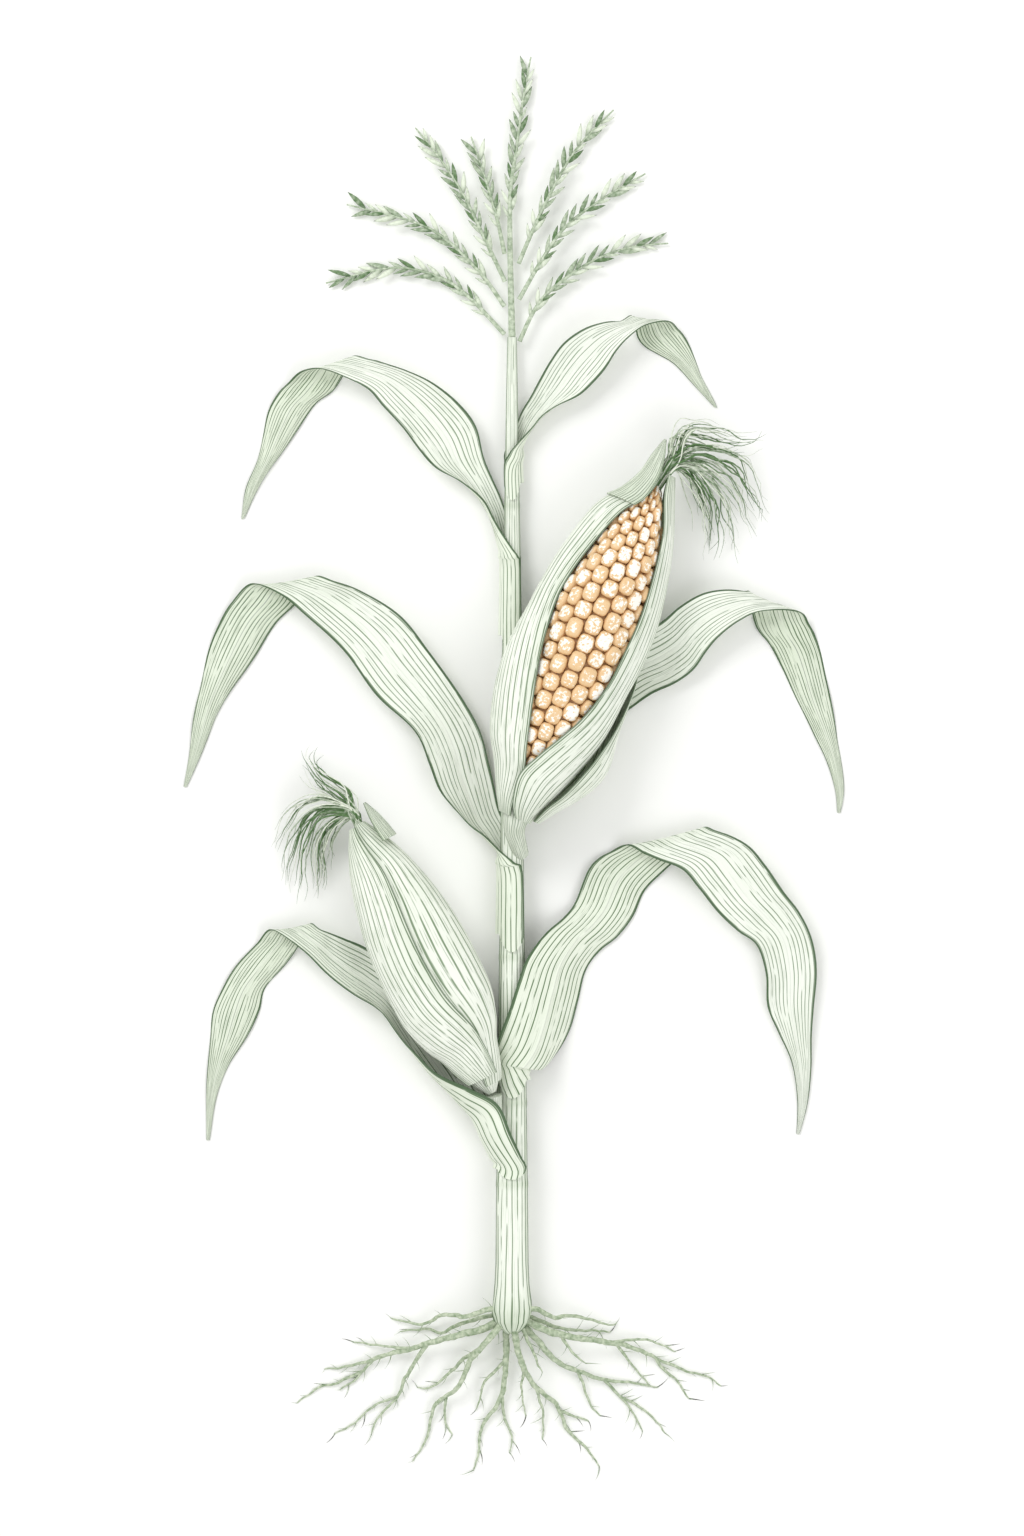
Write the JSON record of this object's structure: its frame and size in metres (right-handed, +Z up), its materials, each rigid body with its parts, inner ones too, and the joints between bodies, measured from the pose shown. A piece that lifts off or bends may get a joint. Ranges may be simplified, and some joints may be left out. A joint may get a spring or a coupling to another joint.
{
  "type": "corn plant",
  "caption": "Uprooted corn plant lying flat: jointed stalk with arching strap leaves, a husked ear, an open ear with its kernels bare, a branched tassel and bare roots.",
  "frame": {"origin": "on the surface that the plant lies on, under the middle of the plant's box", "axes": "+Y along the stalk towards the tassel, +X to the right as seen from above, +Z up from the surface"},
  "size_m": [0.6634, 1.4338, 0.1051],
  "materials": {
    "stalk": "pale green ribbed stem, satin",
    "leaf": "pale greyed green leaf with parallel veins, matt",
    "husk": "pale green fibrous husk, matt",
    "kernels": "cream kernels, tan between them, slightly glossy",
    "silk": "fine pale green silk, soft sheen",
    "tassel": "dull green spikelets, matt",
    "roots": "pale washed roots, matt"
  },
  "bodies": {
    "root": {"stalk": "stalk", "leaf_lower_left": "leaf", "leaf_lower_right": "leaf", "leaf_middle_left": "leaf", "leaf_middle_right": "leaf", "leaf_upper_left": "leaf", "leaf_upper_right": "leaf", "upper_ear_shank": "husk", "upper_ear_husk_left": "husk", "upper_ear_husk_right": "husk", "upper_ear_husk_back": "husk", "upper_ear_husk_outer": "husk", "upper_ear_husk_tip": "husk", "lower_ear_shank": "husk", "lower_ear_body": "husk", "lower_ear_husk_front": "husk", "lower_ear_husk_right": "husk", "lower_ear_husk_left": "husk", "lower_ear_husk_tip": "husk", "upper_ear_cob": "kernels", "upper_ear_silk": "silk", "lower_ear_silk": "silk", "tassel_spike": "tassel", "tassel_branch_1": "tassel", "tassel_branch_2": "tassel", "tassel_branch_3": "tassel", "tassel_branch_4": "tassel", "tassel_branch_5": "tassel", "tassel_branch_6": "tassel", "tassel_branch_7": "tassel", "root_01": "roots", "root_02": "roots", "root_03": "roots", "root_04": "roots", "root_05": "roots", "root_06": "roots", "root_07": "roots", "root_08": "roots", "root_09": "roots", "root_10": "roots", "root_11": "roots", "root_12": "roots"}
  },
  "joints": []
}
